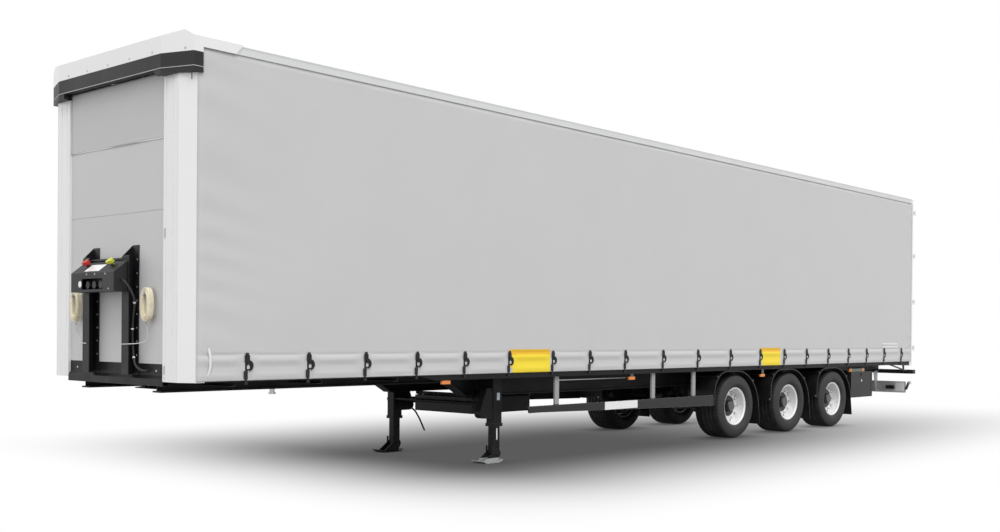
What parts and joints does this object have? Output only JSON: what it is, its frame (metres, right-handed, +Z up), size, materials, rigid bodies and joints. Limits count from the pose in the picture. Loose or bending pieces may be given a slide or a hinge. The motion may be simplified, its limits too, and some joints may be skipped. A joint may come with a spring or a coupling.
{
  "type": "curtain-sided semi trailer",
  "caption": "Low-deck curtain-sided semi trailer with kingpin coupling, axles on air springs, landing gear, swinging rear doors and a load space under a sliding-type roof.",
  "frame": {"origin": "on the ground under the centre of the trailer's bounding box", "axes": "+X forward towards the kingpin, +Y to the trailer's left, +Z up"},
  "size_m": [13.89, 2.55, 4],
  "materials": {
    "chassis": "black chassis paint, satin",
    "stand": "dark grey powder coat",
    "trim": "dark grey moulded plastic",
    "mudguard": "black moulded plastic",
    "floor": "resin-coated plywood",
    "panel": "grey coated panel",
    "white": "white paint",
    "tarpaulin": "light grey coated fabric",
    "tarpaulin_white": "white coated fabric",
    "aluminium": "anodised extrusion",
    "steel": "machined steel",
    "galvanised": "galvanised steel",
    "buckle": "steel buckle and dark webbing",
    "couplings": "red and yellow coupling heads",
    "cable": "black cable sheath",
    "rope": "cream coated rope",
    "rubber": "black rubber bellows",
    "lamp_red": "red lens",
    "lamp_amber": "amber lens",
    "tyre": "black tyre rubber",
    "wheel": "silver wheel"
  },
  "bodies": {
    "chassis": {"main_beams": "chassis", "cross_members": "chassis", "side_rave_left": "chassis", "side_rave_right": "chassis", "load_floor": "floor", "rubbing_plate": "chassis", "kingpin": "steel", "headboard": "panel", "front_posts": "white", "front_base_rail": "chassis", "front_top_trim": "trim", "front_roof_cap": "white", "front_band": "tarpaulin", "coupling_stand": "stand", "coupling_box": "trim", "couplings": "couplings", "stand_cable": "cable", "rope_coils": "rope", "rope_hooks": "steel", "rope_tails": "rope", "curtain_left": "tarpaulin", "curtain_right": "tarpaulin", "top_rail_left": "aluminium", "top_rail_right": "aluminium", "tensioners_left": "buckle", "tensioners_right": "buckle", "side_posts": "aluminium", "roof_sheet": "tarpaulin_white", "roof_bows": "aluminium", "rear_frame": "white", "rear_buffers": "trim", "underrun_beam": "aluminium", "rear_lamps": "lamp_red", "landing_gear": "chassis", "underslung_box": "chassis", "side_guards": "galvanised", "axles": "chassis", "air_springs": "rubber", "mudguards": "mudguard", "tool_box": "mudguard", "marker_lamps": "lamp_amber"},
    "wheel_1_left": {"tyre_1_left": "tyre", "rim_1_left": "wheel"},
    "wheel_1_right": {"tyre_1_right": "tyre", "rim_1_right": "wheel"},
    "wheel_2_left": {"tyre_2_left": "tyre", "rim_2_left": "wheel"},
    "wheel_2_right": {"tyre_2_right": "tyre", "rim_2_right": "wheel"},
    "wheel_3_left": {"tyre_3_left": "tyre", "rim_3_left": "wheel"},
    "wheel_3_right": {"tyre_3_right": "tyre", "rim_3_right": "wheel"},
    "door_left": {"door_left": "white", "lock_gear_left": "galvanised"},
    "door_right": {"door_right": "white", "lock_gear_right": "galvanised"},
    "tool_box_lid": {"tool_box_lid": "mudguard"}
  },
  "joints": [
    {"name": "wheel_1_left_spin", "type": "hinge", "parent": "chassis", "child": "wheel_1_left", "pos_m": [-1.35, 1.02, 0.448], "axis": [0, 1, 0], "continuous": true},
    {"name": "wheel_1_right_spin", "type": "hinge", "parent": "chassis", "child": "wheel_1_right", "pos_m": [-1.35, -1.02, 0.448], "axis": [0, 1, 0], "continuous": true},
    {"name": "wheel_2_left_spin", "type": "hinge", "parent": "chassis", "child": "wheel_2_left", "pos_m": [-2.76, 1.02, 0.448], "axis": [0, 1, 0], "continuous": true},
    {"name": "wheel_2_right_spin", "type": "hinge", "parent": "chassis", "child": "wheel_2_right", "pos_m": [-2.76, -1.02, 0.448], "axis": [0, 1, 0], "continuous": true},
    {"name": "wheel_3_left_spin", "type": "hinge", "parent": "chassis", "child": "wheel_3_left", "pos_m": [-4.08, 1.02, 0.448], "axis": [0, 1, 0], "continuous": true},
    {"name": "wheel_3_right_spin", "type": "hinge", "parent": "chassis", "child": "wheel_3_right", "pos_m": [-4.08, -1.02, 0.448], "axis": [0, 1, 0], "continuous": true},
    {"name": "door_left_hinge", "type": "hinge", "parent": "chassis", "child": "door_left", "pos_m": [-6.893, 1.262, 2.455], "axis": [0, 0, -1], "range_deg": [0, 270]},
    {"name": "door_right_hinge", "type": "hinge", "parent": "chassis", "child": "door_right", "pos_m": [-6.893, -1.262, 2.455], "axis": [0, 0, 1], "range_deg": [0, 270]},
    {"name": "tool_box_lid_hinge", "type": "hinge", "parent": "chassis", "child": "tool_box_lid", "pos_m": [-5.03, 1.212, 0.445], "axis": [-1, 0, 0], "range_deg": [0, 120]}
  ]
}
